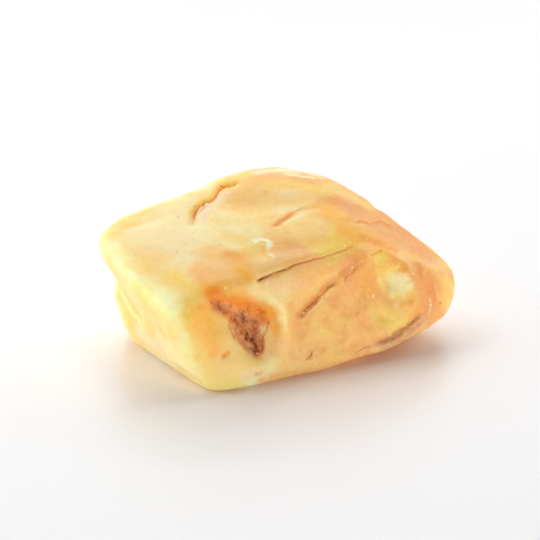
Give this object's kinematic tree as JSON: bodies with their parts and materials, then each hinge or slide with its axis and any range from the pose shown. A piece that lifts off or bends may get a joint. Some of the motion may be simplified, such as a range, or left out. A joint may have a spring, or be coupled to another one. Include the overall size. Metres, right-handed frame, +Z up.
{
  "type": "raw amber piece",
  "caption": "Tumbled lump of raw cloudy amber with worn faces, rounded edges, cracks, a crumbly brown pit and a flat to lie on.",
  "frame": {"origin": "middle of the lump's bounding box in X and Y, on the flat that it lies on", "axes": "+X along the longest side, from the blunt left corner to the narrow right tip; +Y from the pitted front face to the plain back; +Z up, the lump's shortest side"},
  "size_m": [0.0364, 0.025, 0.015],
  "materials": {
    "amber": "cloudy, translucent fossil resin with a waxy gloss; butter yellow to orange, with brown dirt in its pit and cracks"
  },
  "bodies": {
    "root": {"amber_lump": "amber"}
  },
  "joints": []
}
